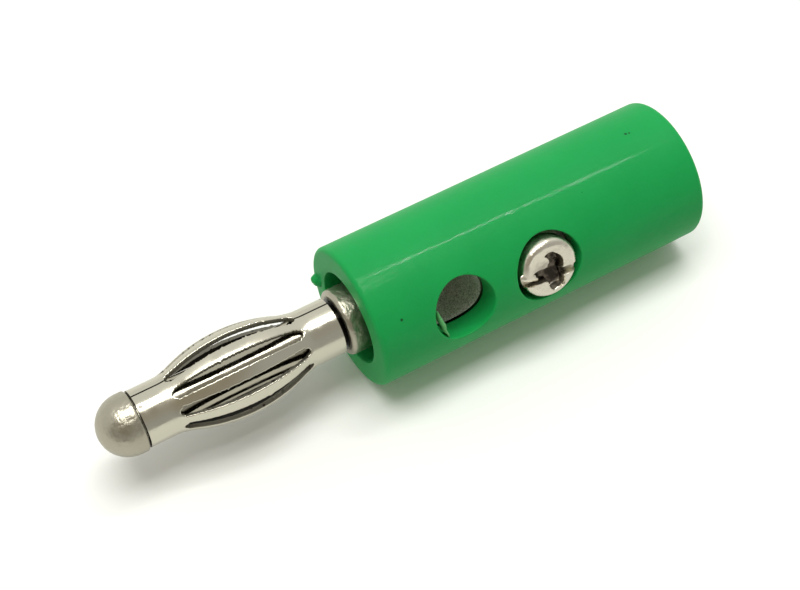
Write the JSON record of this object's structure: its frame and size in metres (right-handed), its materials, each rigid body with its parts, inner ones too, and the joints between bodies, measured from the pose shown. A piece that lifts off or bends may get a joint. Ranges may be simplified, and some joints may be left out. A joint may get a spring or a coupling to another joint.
{
  "type": "banana plug",
  "caption": "Banana plug with a bulged lantern spring on a domed metal pin, in an insulating sleeve with a side socket for stacking and a side screw that clamps the wire.",
  "frame": {"origin": "on the table, in the middle of the cable end that the plug stands on", "axes": "+Z along the plug's axis, tip up; the side holes look towards -Y"},
  "size_m": [0.0094, 0.0096, 0.0411],
  "materials": {
    "green_plastic": "semi-gloss moulded plastic",
    "nickel_pin": "nickel plate on turned brass",
    "nickel_spring": "bright nickel plate on spring sheet",
    "nickel_screw": "nickel plate on steel"
  },
  "bodies": {
    "plug": {"insulating_sleeve": "green_plastic", "contact_pin": "nickel_pin"},
    "spring": {"lantern_spring": "nickel_spring"},
    "screw": {"clamp_screw": "nickel_screw"}
  },
  "joints": [
    {"name": "spring_spin", "type": "hinge", "parent": "plug", "child": "spring", "pos_m": [0, 0, 0.03185], "axis": [0, 0, 1], "continuous": true},
    {"name": "screw_travel", "type": "slide", "parent": "plug", "child": "screw", "axis": [0, -1, 0], "range_m": [-0.00078, 0.0012]}
  ]
}
